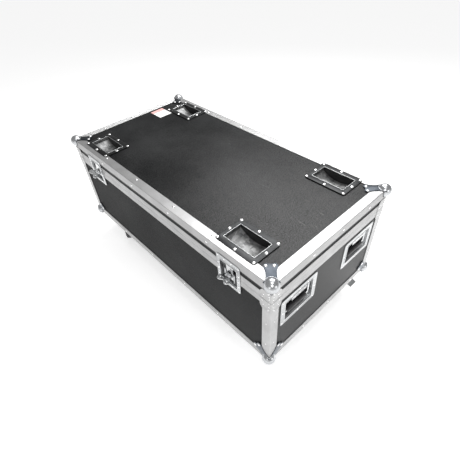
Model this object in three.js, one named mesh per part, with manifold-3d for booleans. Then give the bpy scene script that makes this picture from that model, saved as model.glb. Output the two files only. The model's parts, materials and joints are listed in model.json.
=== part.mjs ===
// A wheeled equipment case: boards held in aluminium edge profiles, a hinged lid, steel corners,
// recessed handles and latches, and four swivel casters.
// Millimetres. +X runs along the length, +Y from the latched front to the hinged back, +Z up.
// The origin is the centre of the inside floor, on the base board's upper face.

import * as THREE from 'three';
import { mergeVertices } from 'three/addons/utils/BufferGeometryUtils.js';
import Module from 'manifold-3d';

const wasm = await Module();
wasm.setup();

// ---- driving dimensions ----

const fitGap = 0.3; // between pieces that touch on the real case

const caseLength = 1200;
const caseWidth = 600;
const caseHeight = 415; // outside of the profiles, without the casters
const lidHeight = 79;
const boardThick = 10;

const profileWall = 2;
const edgeLeg = 35; // edge angles and corner posts
const closureLeg = 26; // outer leg of the tongue and groove profiles
const closureInnerLeg = 14;
const seamGap = 0.4; // between the closed lid and the body
const tongueThick = 2.5;
const tongueHeight = 4.5;
const tongueInset = 5.5; // from the case's outside to the tongue
const grooveClearance = 1.2; // room for the tongue to leave the groove as the lid turns
const grooveRoof = 2;

const ballRadius = 24;
const ballInset = 8.5; // ball centre behind each face
const cornerWrap = 26; // steel wrapped round the case's corner
const cornerSteel = 1.8;
const tab = { reach: 86, waist: 33, ears: 44, root: 12, flare: 7 }; // reach runs along the diagonal
const tabSteps = { waistFrom: 0.42, waistTo: 0.68, earsFrom: 0.8, earsTo: 0.95, tip: 0.6 };

const stackDishX = 428;
const stackDishY = 220;
const stackFlange = { length: 171, width: 120, corner: 12 };
const stackWell = { length: 133, width: 76, ends: 13, depth: 36 };
const sheetSteel = 1.5;
const flangeSteel = 1.6;

const handleY = 165;
const handleBelowTop = 185;
const handleFlange = { width: 176, height: 127, corner: 10 };
const handleWell = { width: 138, height: 90, depth: 18 };
const handleRod = { radius: 4, length: 126, belowWellTop: 9 };
const handleArmInset = 5; // from the rod's end to the arm's middle
const gripRadius = 8;
const gripDrop = 60; // from the rod down to the grip
const gripFloorGap = 1.5;
const rodCover = { width: 76, height: 17 };

const latchX = 424;
const latchPlate = { width: 104, below: 69, above: 52, corner: 8 };
const latchWell = { width: 76, below: 56, above: 30, depth: 10.5 };
const spindleDrop = 18; // below the seam
const spindle = { shaft: 6, head: 9, headFront: -2.2, headBack: 3, tail: 9.5 };
const wingPivot = { radius: 1.5, length: 30, depth: 0.2 };
const wing = { thick: 2.4, reach: 34, halfSpan: 25, root: 11, ear: 4.5, boreGap: 0.4, bossWall: 0.8 };
const wingLobe = { radius: 10.5, hole: 2.6, shoulder: 13.75, notch: 8.4, earDrop: 3 };
const hook = { halfWidth: 15, front: 3.5, thick: 2, top: 20, bottom: -38, claw: 5, clawReach: 1.7 };
const hookDraw = { back: 3, down: 6 }; // how far a half turn of the spindle draws the hook
const hookWindow = { halfWidth: 7.5, top: -4, bottom: -26 };
const keeperShelf = { halfWidth: 13, bottom: 5, gapToClaw: 0.6 };

const hingeLength = 1000;
const knuckleCount = 7;
const hinge = { knuckle: 4, bore: 2.1, pin: 1.6, leaf: 1.5, leafHeight: 24, relief: 4.6 };
const hingeStandOff = 0.3; // between the knuckles and the leaf's mounting plane

const casterX = 472;
const casterY = 218;
const casterPlate = { length: 100, width: 85, thick: 3.5 };
const raceway = { radius: 24, height: 10 };
const forkCrown = { radius: 26, thick: 7 };
const trail = 38;
const forkWall = 3;
const axleRadius = 5;
const axleGap = 0.6;
const wheelRadius = 50;
const wheelWidth = 32;
const hubRadius = 14;
const treadWidth = 22;
const wheelSideGap = 2; // wheel to fork, each side
const wheelTopGap = 6.9; // wheel to the fork's crown
const forkLeg = { front: 0.8, back: 0.9, crownOverlap: 2, pastAxle: 13, foot: 10, footRise: 6 };
const pedal = { halfWidth: 20, pastWheel: 44, tipHeight: 86, thick: 3, root: 16 };
const pedalElbow = { along: 0.62, drop: 4 };
const wheelSection = { chamfer: 4, rim: 10, web: 5, edge: 1 };
// Direction each caster trails in at rest, in degrees from +X, and whether it has a brake.
const casters = [
  { name: 'front_left', sx: -1, sy: -1, turn: -36, brake: false },
  { name: 'front_right', sx: 1, sy: -1, turn: 165, brake: false },
  { name: 'back_left', sx: -1, sy: 1, turn: 200, brake: true },
  { name: 'back_right', sx: 1, sy: 1, turn: 0, brake: true },
];

// ---- derived levels ----

const boardInset = profileWall + fitGap; // case outside to board outside
const halfLength = caseLength / 2;
const halfWidth = caseWidth / 2;
const bottomZ = -boardInset;
const topZ = bottomZ + caseHeight;
const seamZ = topZ - lidHeight;
const bodyTopZ = seamZ - seamGap / 2;
const lidLowZ = seamZ + seamGap / 2;
const innerInset = boardInset + boardThick; // case outside to board inside
const profileDepth = innerInset + fitGap + profileWall;
const grooveTopZ = lidLowZ + tongueHeight + grooveClearance;
const lidBoardZ = grooveTopZ + grooveRoof;
const casterHeight = 2 * fitGap + casterPlate.thick + raceway.height + forkCrown.thick + wheelTopGap
  + 2 * wheelRadius; // base board to floor
const floorZ = -casterHeight;

// ---- materials ----

const laminate = new THREE.MeshStandardMaterial({ color: 0x202224, roughness: 0.55, metalness: 0 });
const aluminium = new THREE.MeshStandardMaterial({ color: 0xc9cacb, roughness: 0.35, metalness: 1 });
const zinc = new THREE.MeshStandardMaterial({ color: 0x8d9196, roughness: 0.4, metalness: 1 });
const chrome = new THREE.MeshStandardMaterial({ color: 0xd8dadd, roughness: 0.15, metalness: 1 });
const darkPlate = new THREE.MeshStandardMaterial({ color: 0x4a4c4e, roughness: 0.35, metalness: 1 });
const rubber = new THREE.MeshStandardMaterial({ color: 0x1b1b1c, roughness: 0.8, metalness: 0 });

// ---- helpers: solids for cutting and joining ----

function solid(geometry) {
  geometry.deleteAttribute('normal');
  geometry.deleteAttribute('uv');
  const merged = mergeVertices(geometry, 1e-4);
  const corners = Array.from(merged.index.array);
  const kept = [];
  for (let i = 0; i < corners.length; i += 3) {
    const [a, b, c] = corners.slice(i, i + 3);
    if (a !== b && b !== c && c !== a) kept.push(a, b, c);
  }
  const vertProperties = new Float32Array(merged.attributes.position.array);
  return new wasm.Manifold(new wasm.Mesh({ numProp: 3, vertProperties, triVerts: new Uint32Array(kept) }));
}

function block(x0, x1, y0, y1, z0, z1) {
  const geometry = new THREE.BoxGeometry(Math.abs(x1 - x0), Math.abs(y1 - y0), Math.abs(z1 - z0));
  geometry.translate((x0 + x1) / 2, (y0 + y1) / 2, (z0 + z1) / 2);
  return solid(geometry);
}

// A rod from point a to point b. Flats face the axes, so a rod of n sides has its flats at the radius.
function rod(a, b, radius, sides) {
  const from = new THREE.Vector3(...a);
  const to = new THREE.Vector3(...b);
  const along = to.clone().sub(from);
  const flatRadius = radius / Math.cos(Math.PI / sides);
  const geometry = new THREE.CylinderGeometry(flatRadius, flatRadius, along.length(), sides);
  geometry.rotateY(Math.PI / sides);
  const turn = new THREE.Quaternion().setFromUnitVectors(new THREE.Vector3(0, 1, 0), along.normalize());
  geometry.applyQuaternion(turn);
  geometry.translate((from.x + to.x) / 2, (from.y + to.y) / 2, (from.z + to.z) / 2);
  return solid(geometry);
}

// An outline in X and Y raised from z0 to z1.
function slab(shape, z0, z1, curveSegments = 3) {
  const geometry = new THREE.ExtrudeGeometry(shape, { depth: z1 - z0, bevelEnabled: false, curveSegments });
  geometry.translate(0, 0, z0);
  return geometry;
}

function polygon(points) {
  return new THREE.Shape(points.map(([x, y]) => new THREE.Vector2(x, y)));
}

function roundedRectangle(x0, x1, y0, y1, radius) {
  const shape = new THREE.Shape();
  shape.moveTo(x0 + radius, y0);
  shape.lineTo(x1 - radius, y0);
  shape.absarc(x1 - radius, y0 + radius, radius, -Math.PI / 2, 0);
  shape.lineTo(x1, y1 - radius);
  shape.absarc(x1 - radius, y1 - radius, radius, 0, Math.PI / 2);
  shape.lineTo(x0 + radius, y1);
  shape.absarc(x0 + radius, y1 - radius, radius, Math.PI / 2, Math.PI);
  shape.lineTo(x0, y0 + radius);
  shape.absarc(x0 + radius, y0 + radius, radius, Math.PI, Math.PI * 1.5);
  return shape;
}

function join(pieces) {
  return pieces.reduce((whole, piece) => whole.add(piece));
}

function piece(name, shape, material) {
  const { vertProperties, triVerts } = shape.getMesh();
  const geometry = new THREE.BufferGeometry();
  geometry.setAttribute('position', new THREE.BufferAttribute(new Float32Array(vertProperties), 3));
  geometry.setIndex(new THREE.BufferAttribute(new Uint32Array(triVerts), 1));
  geometry.computeVertexNormals();
  const mesh = new THREE.Mesh(geometry, material);
  mesh.name = name;
  return mesh;
}

// A rectangular ring round the case, from one inset to a deeper one, between two heights.
function ring(outerInset, innerInsetOfRing, z0, z1) {
  const outer = block(-halfLength + outerInset, halfLength - outerInset,
    -halfWidth + outerInset, halfWidth - outerInset, z0, z1);
  const inner = block(-halfLength + innerInsetOfRing, halfLength - innerInsetOfRing,
    -halfWidth + innerInsetOfRing, halfWidth - innerInsetOfRing, z0 - 1, z1 + 1);
  return outer.subtract(inner);
}

// ---- openings that the fittings need in boards and profiles ----

const latchSides = [['left', -1, 25], ['right', 1, 0]]; // name, side, degrees the wing is turned
const wellCut = fitGap + sheetSteel; // a well's inside to the edge of the hole it sits in
const latchWellBack = latchWell.depth + sheetSteel;

function latchOpening(side) {
  const half = latchWell.width / 2 + wellCut;
  const back = -halfWidth + Math.max(latchWellBack, innerInset) + 0.2;
  return block(side * latchX - half, side * latchX + half, -halfWidth - 1, back,
    seamZ - latchWell.below - wellCut, seamZ + latchWell.above + wellCut);
}

function withoutLatches(shape) {
  return latchSides.reduce((left, [, side]) => left.subtract(latchOpening(side)), shape);
}

const handlePlaces = [
  ['left_front', -1, -1], ['left_back', -1, 1], ['right_front', 1, -1], ['right_back', 1, 1],
];
const handleZ = topZ - handleBelowTop;

function handleOpening(end, side) {
  const y = side * handleY;
  const halfY = handleWell.width / 2 + wellCut;
  const halfZ = handleWell.height / 2 + wellCut;
  const x = end * halfLength;
  const deep = innerInset + 1;
  return block(x - deep, x + deep, y - halfY, y + halfY, handleZ - halfZ, handleZ + halfZ);
}

const corners = [
  ['front_left', -1, -1], ['front_right', 1, -1], ['back_right', 1, 1], ['back_left', -1, 1],
];

// ---- boards ----

function bodyBoards() {
  const highZ = bodyTopZ - profileWall - fitGap;
  const x = halfLength - boardInset;
  const y = halfWidth - boardInset;
  const floorX = x - boardThick - fitGap;
  const floorY = y - boardThick - fitGap;
  const base = block(-floorX, floorX, -floorY, floorY, 0, boardThick);
  const front = withoutLatches(block(-x, x, -y, -y + boardThick, 0, highZ));
  const back = block(-x, x, y - boardThick, y, 0, highZ);
  const endY = y - boardThick - fitGap;
  const parts = [
    piece('base_panel', base, laminate),
    piece('front_panel', front, laminate),
    piece('back_panel', back, laminate),
  ];
  for (const [name, end] of [['left_panel', -1], ['right_panel', 1]]) {
    let board = block(end * (x - boardThick), end * x, -endY, endY, 0, highZ);
    for (const side of [-1, 1]) board = board.subtract(handleOpening(end, side));
    parts.push(piece(name, board, laminate));
  }
  return parts;
}

function lidBoards() {
  const x = halfLength - boardInset;
  const y = halfWidth - boardInset;
  const high = topZ - boardInset;
  let top = block(-x, x, -y, y, high - boardThick, high);
  const halfX = stackWell.length / 2 + wellCut;
  const halfY = stackWell.width / 2 + wellCut;
  for (const [, sx, sy] of corners) {
    const cx = sx * stackDishX;
    const cy = sy * stackDishY;
    const low = high - boardThick - 1;
    top = top.subtract(block(cx - halfX, cx + halfX, cy - halfY, cy + halfY, low, high + 1));
  }
  const rim = ring(boardInset, innerInset, lidBoardZ + fitGap, high - boardThick - fitGap);
  return [
    piece('lid_panel', top, laminate),
    piece('lid_rim_panel', withoutLatches(rim), laminate),
  ];
}

// ---- aluminium profiles ----

function baseEdgeFrame() {
  const side = ring(0, profileWall, bottomZ, bottomZ + edgeLeg);
  const foot = ring(0, edgeLeg, bottomZ, bottomZ + profileWall);
  return piece('base_edge_frame', side.add(foot), aluminium);
}

function lidEdgeFrame() {
  const side = ring(0, profileWall, topZ - edgeLeg, topZ);
  const top = ring(0, edgeLeg, topZ - profileWall, topZ);
  return piece('lid_edge_frame', withoutLatches(side.add(top)), aluminium);
}

function cornerPost(name, sx, sy) {
  const low = bottomZ + edgeLeg + fitGap;
  const high = seamZ - closureLeg - fitGap;
  const x = sx * halfLength;
  const y = sy * halfWidth;
  const alongX = block(x - sx * edgeLeg, x, y - sy * profileWall, y, low, high);
  const alongY = block(x - sx * profileWall, x, y - sy * edgeLeg, y, low, high);
  return piece(`corner_post_${name}`, alongX.add(alongY), aluminium);
}

function bodyClosureFrame() {
  const outer = ring(0, profileWall, seamZ - closureLeg, bodyTopZ);
  const cap = ring(0, profileDepth, bodyTopZ - profileWall, bodyTopZ);
  const inner = ring(innerInset + fitGap, profileDepth, bodyTopZ - closureInnerLeg, bodyTopZ);
  const tongueRoot = bodyTopZ - profileWall / 2;
  const tongue = ring(tongueInset, tongueInset + tongueThick, tongueRoot, bodyTopZ + tongueHeight);
  return piece('body_closure_frame', withoutLatches(join([outer, cap, inner, tongue])), aluminium);
}

function lidClosureFrame() {
  const outer = ring(0, profileWall, lidLowZ, seamZ + closureLeg);
  const cap = ring(0, profileDepth, lidLowZ, lidBoardZ);
  const inner = ring(innerInset + fitGap, profileDepth, lidLowZ, lidLowZ + closureInnerLeg + grooveRoof);
  const groove = ring(tongueInset - grooveClearance, tongueInset + tongueThick + grooveClearance,
    lidLowZ - 1, grooveTopZ);
  const whole = join([outer, cap, inner]).subtract(groove);
  return piece('lid_closure_frame', withoutLatches(whole), aluminium);
}

// ---- ball corners ----

// Made for a corner at the origin, with the case filling the space where x, y and z are positive.
function ballCorner(name, tabFaces) {
  const far = 200;
  const caseSpace = block(-fitGap, far, -fitGap, far, -fitGap, far);
  const skin = fitGap + cornerSteel;
  const ball = new THREE.SphereGeometry(ballRadius, 14, 8);
  ball.translate(ballInset, ballInset, ballInset);
  const wrap = block(-skin, cornerWrap, -skin, cornerWrap, -skin, cornerWrap);
  const { reach, root, flare } = tab;
  const { waistFrom, waistTo, earsFrom, earsTo, tip } = tabSteps;
  const waist = tab.waist / 2;
  const ears = tab.ears / 2;
  const outline = polygon([
    [root, -waist - flare], [reach * waistFrom, -waist], [reach * waistTo, -waist],
    [reach * earsFrom, -ears], [reach * earsTo, -ears], [reach, -ears * tip], [reach * earsTo, 0],
    [reach, ears * tip], [reach * earsTo, ears], [reach * earsFrom, ears],
    [reach * waistTo, waist], [reach * waistFrom, waist], [root, waist + flare],
  ]);
  const diagonal = new THREE.Vector3(1, 1, 1).normalize();
  const tabs = [];
  for (let face = 0; face < tabFaces; face += 1) {
    const spin = new THREE.Matrix4().makeRotationAxis(diagonal, face * Math.PI * 2 / 3);
    const plate = slab(outline, -skin, -fitGap).rotateZ(Math.PI / 4).applyMatrix4(spin);
    const pad = slab(outline, -skin, boardInset - fitGap).rotateZ(Math.PI / 4).applyMatrix4(spin);
    const open = edgeLeg + fitGap;
    const window = new THREE.BoxGeometry(far, far, 20).translate(open + far / 2, open + far / 2, 0);
    tabs.push(solid(plate).subtract(caseSpace));
    tabs.push(solid(pad).intersect(solid(window.applyMatrix4(spin))));
  }
  const shell = solid(ball).add(wrap).subtract(caseSpace);
  return piece(name, join([shell, ...tabs]), chrome);
}

function ballCorners(level) {
  const top = level === 'lid';
  return corners.map(([place, sx, sy]) => {
    const mesh = ballCorner(`${level}_ball_corner_${place}`, top ? 1 : 3);
    // Quarter turns that bring the case side of the corner towards the middle of the case.
    const quarter = { front_left: 0, front_right: 1, back_right: 2, back_left: 3 }[place];
    mesh.rotation.order = 'ZXY';
    mesh.rotation.x = top ? Math.PI : 0;
    mesh.rotation.z = (quarter + (top ? 1 : 0)) * Math.PI / 2;
    mesh.position.set(sx * halfLength, sy * halfWidth, top ? topZ : bottomZ);
    return mesh;
  });
}

// ---- stacking dishes in the lid ----

function wellOutline(grow) {
  const half = stackWell.length / 2 + grow;
  const ends = -stackWell.ends - grow;
  const low = -stackWell.depth - grow;
  const sag = ends - low;
  const radius = (half * half + sag * sag) / (2 * sag);
  const sweep = Math.asin(half / radius);
  const shape = new THREE.Shape();
  shape.moveTo(-half, 4);
  shape.lineTo(-half, ends);
  shape.absarc(0, low + radius, radius, -Math.PI / 2 - sweep, -Math.PI / 2 + sweep, false);
  shape.lineTo(half, 4);
  return shape;
}

function wellSolid(grow) {
  const width = stackWell.width + 2 * grow;
  return solid(slab(wellOutline(grow), -width / 2, width / 2, 8).rotateX(Math.PI / 2));
}

function stackDish(place, sx, sy) {
  const { length, width, corner } = stackFlange;
  const outline = roundedRectangle(-length / 2, length / 2, -width / 2, width / 2, corner);
  const flange = solid(slab(outline, fitGap, fitGap + flangeSteel));
  const bandEdge = halfWidth - edgeLeg - stackDishY - fitGap;
  const pad = solid(slab(outline, fitGap - boardInset, fitGap + flangeSteel / 2));
  const overBoard = block(-length, length, -sy * width, sy * bandEdge, -20, 20);
  const below = block(-length, length, -width, width, -60, fitGap + flangeSteel);
  const shell = wellSolid(sheetSteel).intersect(below);
  const dish = join([flange, pad.intersect(overBoard), shell]).subtract(wellSolid(0));
  const mesh = piece(`stacking_dish_${place}`, dish, darkPlate);
  mesh.position.set(sx * stackDishX, sy * stackDishY, topZ);
  return mesh;
}

// ---- recessed spring handles ----
// Made with the end board's outside at x = -boardInset, outward along +X.

const handlePivot = {
  x: -boardInset + fitGap - handleWell.depth + gripFloorGap + gripRadius,
  z: handleWell.height / 2 - handleRod.belowWellTop,
};

function handleDish() {
  const { width, height, corner } = handleFlange;
  const back = -boardInset + fitGap; // the flange lies on the board
  const front = back + flangeSteel;
  const outline = roundedRectangle(-width / 2, width / 2, -height / 2, height / 2, corner);
  const flange = slab(outline, back, front);
  flange.applyMatrix4(new THREE.Matrix4().set(0, 0, 1, 0, 1, 0, 0, 0, 0, 1, 0, 0, 0, 0, 0, 1));
  const y = handleWell.width / 2;
  const z = handleWell.height / 2;
  const floor = back - handleWell.depth;
  const shellY = y + sheetSteel;
  const shellZ = z + sheetSteel;
  const shell = block(floor - sheetSteel, front, -shellY, shellY, -shellZ, shellZ);
  const well = block(floor, front + 1, -y, y, -z, z);
  const half = rodCover.width / 2;
  const cover = block(front - sheetSteel, front, -half, half, z - rodCover.height, z + 1);
  return join([solid(flange).add(shell).subtract(well), cover]);
}

function handleGrip() {
  const { x, z } = handlePivot;
  const half = handleRod.length / 2;
  const armY = half - handleArmInset;
  const low = z - gripDrop;
  const pieces = [
    rod([x, -half, z], [x, half, z], handleRod.radius, 12),
    rod([x, -half + 1, low], [x, half - 1, low], gripRadius, 16),
  ];
  for (const y of [-armY, armY]) {
    pieces.push(block(x - handleRod.radius + 0.5, x + handleRod.radius - 0.5, y - 3, y + 3, low, z));
  }
  return join(pieces);
}

function handle(place, end, side) {
  const group = new THREE.Group();
  group.position.set(end * halfLength, side * handleY, handleZ);
  group.rotation.z = end > 0 ? 0 : Math.PI;
  group.add(piece(`handle_dish_${place}`, handleDish(), zinc));
  group.add(piece(`handle_grip_${place}`, handleGrip(), rubber));
  return group;
}

// ---- twist latches ----
// Made with the case's outside at y = 0, inward along +Y, and the seam at z = 0.

function latchHalf(outline, low, high, wellLow, wellHigh, padLow, padHigh) {
  const half = latchPlate.width / 2;
  const front = -fitGap - flangeSteel;
  const wellHalf = latchWell.width / 2;
  const face = (y0, y1) => solid(slab(outline, -y1, -y0).rotateX(Math.PI / 2));
  const keep = block(-half - 1, half + 1, -20, 20, low, high);
  const pad = face(front, boardInset - fitGap).intersect(block(-half, half, -20, 20, padLow, padHigh));
  const shell = block(-wellHalf - sheetSteel, wellHalf + sheetSteel, front, latchWellBack,
    wellLow - sheetSteel, wellHigh + sheetSteel);
  const well = block(-wellHalf, wellHalf, front - 1, latchWell.depth, wellLow, wellHigh);
  return join([face(front, -fitGap), pad, shell]).intersect(keep).subtract(well);
}

function latchDish() {
  const top = -seamGap / 2 - fitGap;
  const half = latchPlate.width / 2;
  const outline = roundedRectangle(-half, half, -latchPlate.below, latchPlate.below, latchPlate.corner);
  return latchHalf(outline, -latchPlate.below, top, -latchWell.below, top + 1,
    -latchPlate.below, -closureLeg - fitGap);
}

function latchKeeper() {
  const low = seamGap / 2 + fitGap;
  const half = latchPlate.width / 2;
  const outline = roundedRectangle(-half, half, -latchPlate.above, latchPlate.above, latchPlate.corner);
  const plate = latchHalf(outline, low, latchPlate.above, low - 1, latchWell.above,
    closureLeg + fitGap, lidHeight - edgeLeg - fitGap);
  const tip = hook.front + hook.thick + hookDraw.back + fitGap;
  const shelfTop = hook.top - hook.claw - hookDraw.down - keeperShelf.gapToClaw;
  const shelf = block(-keeperShelf.halfWidth, keeperShelf.halfWidth, tip, latchWell.depth + sheetSteel / 2,
    keeperShelf.bottom, shelfTop);
  return plate.add(shelf);
}

function latchSpindle() {
  const shaft = rod([0, spindle.headBack - 1, 0], [0, spindle.tail, 0], spindle.shaft, 16);
  const head = rod([0, spindle.headFront, 0], [0, spindle.headBack, 0], spindle.head, 20);
  const half = wingPivot.length / 2;
  const pin = rod([-half, wingPivot.depth, 0], [half, wingPivot.depth, 0], wingPivot.radius, 10);
  return join([shaft, head, pin]);
}

function latchWing() {
  const { thick, reach, halfSpan, root, ear } = wing;
  const bore = wingPivot.radius + wing.boreGap;
  const earIn = spindle.head + 1;
  const { radius: lobe, shoulder, notch, earDrop } = wingLobe;
  const outline = new THREE.Shape();
  outline.moveTo(-shoulder, -root);
  outline.lineTo(shoulder, -root);
  outline.absarc(halfSpan - lobe, -reach + lobe, lobe, Math.PI / 3, -Math.PI * 0.62, true);
  outline.lineTo(0, -reach + notch);
  outline.absarc(-halfSpan + lobe, -reach + lobe, lobe, -Math.PI * 0.38, -Math.PI * 4 / 3, true);
  const plate = slab(outline, -thick / 2, thick / 2, 5);
  const parts = [solid(plate)];
  for (const side of [-1, 1]) {
    parts.push(block(side * earIn, side * (earIn + ear), -root - earDrop, 0, -thick / 2, thick / 2));
    parts.push(rod([side * earIn, 0, 0], [side * (earIn + ear), 0, 0], bore + wing.bossWall, 10));
  }
  const holeX = halfSpan - lobe;
  const holeY = lobe - reach;
  const holes = [-1, 1].map((side) => rod(
    [side * holeX, holeY, -thick], [side * holeX, holeY, thick], wingLobe.hole, 10));
  holes.push(rod([-halfSpan, 0, 0], [halfSpan, 0, 0], bore, 10));
  return holes.reduce((left, hole) => left.subtract(hole), join(parts));
}

function latchHook() {
  const { halfWidth, front, thick, top, bottom, claw, clawReach } = hook;
  const back = front + thick;
  const plate = block(-halfWidth, halfWidth, front, back, bottom, top);
  const opening = block(-hookWindow.halfWidth, hookWindow.halfWidth, front - 1, back + 1,
    hookWindow.bottom, hookWindow.top);
  const tip = block(-halfWidth + 3, halfWidth - 3, front, back + clawReach, top - claw, top);
  return plate.subtract(opening).add(tip);
}

function latch(place, side, turn) {
  const group = new THREE.Group();
  group.position.set(side * latchX, -halfWidth, seamZ);
  group.add(piece(`latch_dish_${place}`, latchDish(), zinc));
  group.add(piece(`latch_keeper_${place}`, latchKeeper(), zinc));
  group.add(piece(`latch_hook_${place}`, latchHook(), chrome));
  const turned = new THREE.Group();
  turned.position.z = -spindleDrop;
  turned.rotation.y = turn * Math.PI / 180;
  turned.add(piece(`latch_spindle_${place}`, latchSpindle(), chrome));
  const wingMesh = piece(`latch_wing_${place}`, latchWing(), zinc);
  wingMesh.position.y = wingPivot.depth;
  turned.add(wingMesh);
  group.add(turned);
  return group;
}

// ---- back hinge ----
// Made with the case's back at y = 0, outward along +Y, and the seam at z = 0.

const hingeAxisY = fitGap + hinge.knuckle + hingeStandOff;

function hingeLeaf(name, up, firstKnuckle) {
  const half = hingeLength / 2;
  const pitch = hingeLength / knuckleCount;
  const back = fitGap + hinge.leaf;
  const leaf = block(-half, half, fitGap, back, up * hinge.relief, up * hinge.leafHeight);
  const parts = [leaf];
  for (let i = firstKnuckle; i < knuckleCount; i += 2) {
    const x0 = -half + i * pitch + fitGap;
    const x1 = x0 + pitch - 2 * fitGap;
    parts.push(block(x0, x1, fitGap, back, 0, up * (hinge.relief + 1)));
    parts.push(rod([x0, hingeAxisY, 0], [x1, hingeAxisY, 0], hinge.knuckle, 8));
  }
  const bore = rod([-half - 1, hingeAxisY, 0], [half + 1, hingeAxisY, 0], hinge.bore, 8);
  return piece(name, join(parts).subtract(bore), aluminium);
}

function backHinge() {
  const group = new THREE.Group();
  group.position.set(0, halfWidth, seamZ);
  group.add(hingeLeaf('hinge_leaf_body', -1, 0));
  group.add(hingeLeaf('hinge_leaf_lid', 1, 1));
  const half = hingeLength / 2;
  const pin = rod([-half, hingeAxisY, 0], [half, hingeAxisY, 0], hinge.pin, 8);
  group.add(piece('hinge_pin', pin, zinc));
  return group;
}

// ---- casters ----
// Made with the swivel axis on Z, the base board's underside at z = 0 and the wheel trailing along +X.

const axleZ = floorZ + wheelRadius;
const racewayLow = -fitGap - casterPlate.thick - raceway.height;
const crownTop = racewayLow - fitGap;

function casterTop() {
  const { length, width, thick } = casterPlate;
  const outline = roundedRectangle(-length / 2, length / 2, -width / 2, width / 2, 8);
  const plate = solid(slab(outline, -fitGap - thick, -fitGap));
  const race = rod([0, 0, -fitGap - thick / 2], [0, 0, racewayLow], raceway.radius, 24);
  return plate.add(race);
}

function casterFork(brake) {
  const inner = wheelWidth / 2 + wheelSideGap;
  const outer = inner + forkWall;
  const crownLow = crownTop - forkCrown.thick;
  const crown = rod([0, 0, crownLow], [0, 0, crownTop], forkCrown.radius, 24);
  const { front, back, crownOverlap, pastAxle, foot, footRise } = forkLeg;
  const legTop = crownLow + crownOverlap;
  const leg = polygon([
    [-forkCrown.radius * front, legTop], [forkCrown.radius * back, legTop],
    [trail + pastAxle, axleZ + footRise], [trail + foot, axleZ - foot], [trail - foot, axleZ - foot],
  ]);
  const parts = [crown];
  for (const side of [-1, 1]) {
    const y0 = Math.min(side * inner, side * outer);
    parts.push(solid(slab(leg, -y0 - forkWall, -y0).rotateX(Math.PI / 2)));
  }
  parts.push(rod([trail, -outer - 3, axleZ], [trail, outer + 3, axleZ], axleRadius, 12));
  if (brake) {
    const { root, thick, halfWidth: half } = pedal;
    const reach = trail + wheelRadius + pedal.pastWheel;
    const tipZ = floorZ + pedal.tipHeight;
    const elbowX = reach * pedalElbow.along;
    const elbowZ = crownLow - pedalElbow.drop;
    const outline = polygon([
      [root, crownLow + 1], [elbowX, elbowZ], [reach, tipZ], [reach + thick / 2, tipZ + thick],
      [elbowX + thick / 2, elbowZ + thick * 1.2], [root, crownLow + 1 + thick],
    ]);
    parts.push(solid(slab(outline, -half, half).rotateX(Math.PI / 2)));
  }
  return join(parts);
}

function casterWheel() {
  const half = wheelWidth / 2;
  const bore = axleRadius + axleGap;
  const shoulder = wheelRadius - wheelSection.chamfer;
  const rim = shoulder - wheelSection.rim;
  const web = half - wheelSection.web;
  const side = half - wheelSection.edge;
  const tread = treadWidth / 2;
  const profile = [
    [bore, -half], [hubRadius, -half], [hubRadius, -web], [rim, -web], [rim, -side], [shoulder, -side],
    [wheelRadius, -tread], [wheelRadius, tread], [shoulder, side], [rim, side], [rim, web],
    [hubRadius, web], [hubRadius, half], [bore, half], [bore, -half],
  ];
  const sides = 20;
  const flats = 1 / Math.cos(Math.PI / sides);
  const points = profile.map(([r, y]) => new THREE.Vector2(r * flats, y));
  const geometry = new THREE.LatheGeometry(points, sides);
  geometry.rotateY(Math.PI / sides);
  return solid(geometry);
}

function caster({ name, sx, sy, turn, brake }) {
  const group = new THREE.Group();
  group.position.set(sx * casterX, sy * casterY, 0);
  group.add(piece(`caster_plate_${name}`, casterTop(), zinc));
  const swivel = new THREE.Group();
  swivel.rotation.z = turn * Math.PI / 180;
  swivel.add(piece(`caster_fork_${name}`, casterFork(brake), zinc));
  const wheel = piece(`caster_wheel_${name}`, casterWheel(), rubber);
  wheel.position.set(trail, 0, axleZ);
  swivel.add(wheel);
  group.add(swivel);
  return group;
}

// ---- the case ----

const equipmentCase = new THREE.Group();
equipmentCase.position.z = -boardThick; // from the base board's underside to the inside floor
equipmentCase.add(...bodyBoards(), ...lidBoards());
equipmentCase.add(baseEdgeFrame(), lidEdgeFrame(), bodyClosureFrame(), lidClosureFrame());
equipmentCase.add(...corners.map(([place, sx, sy]) => cornerPost(place, sx, sy)));
equipmentCase.add(...ballCorners('base'), ...ballCorners('lid'));
equipmentCase.add(...corners.map(([place, sx, sy]) => stackDish(place, sx, sy)));
equipmentCase.add(...handlePlaces.map(([place, end, side]) => handle(place, end, side)));
equipmentCase.add(...latchSides.map(([place, side, turn]) => latch(place, side, turn)));
equipmentCase.add(backHinge());
equipmentCase.add(...casters.map(caster));

export default equipmentCase;
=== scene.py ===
import json
import math

import bpy
from mathutils import Matrix, Vector


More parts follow.
